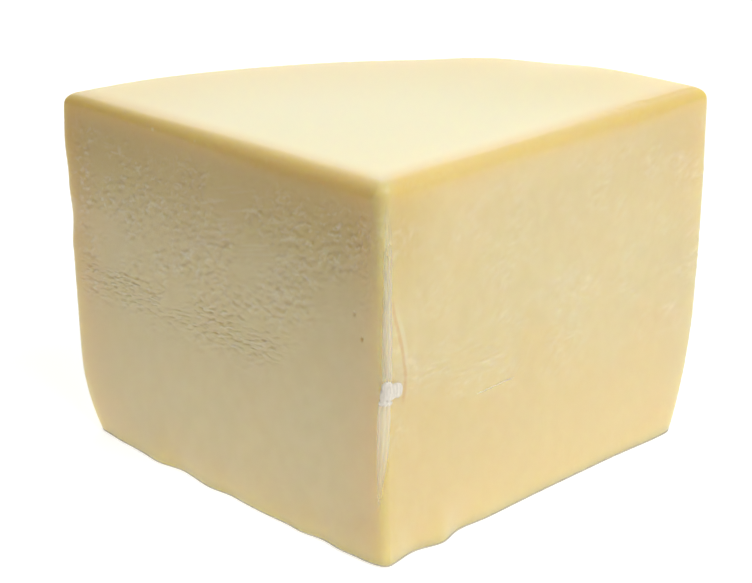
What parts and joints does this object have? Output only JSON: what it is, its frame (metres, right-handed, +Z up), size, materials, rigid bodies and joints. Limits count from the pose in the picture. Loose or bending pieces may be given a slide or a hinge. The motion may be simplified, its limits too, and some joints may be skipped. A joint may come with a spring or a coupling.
{
  "type": "pecorino romano wedge in film",
  "caption": "Wedge of hard ewe's milk cheese, a quarter round cut level on top, with two flat cut faces and a rounded heel, sealed in tight clear film with a gathered pleat on its front edge.",
  "frame": {"origin": "on the base, under the middle of the bounding box", "axes": "+Z up; the front edge, where the two cut faces meet, points to -Y; the rim closes the back at +Y; +X to the right of someone who faces the front edge"},
  "size_m": [0.2244, 0.1604, 0.1279],
  "materials": {
    "cheese": "pale straw, smooth cut cheese with fine pits, slightly translucent",
    "film": "clear shrink film, clinging, whitish where it is gathered"
  },
  "bodies": {
    "root": {"wrapped_wedge": "cheese"}
  },
  "joints": []
}
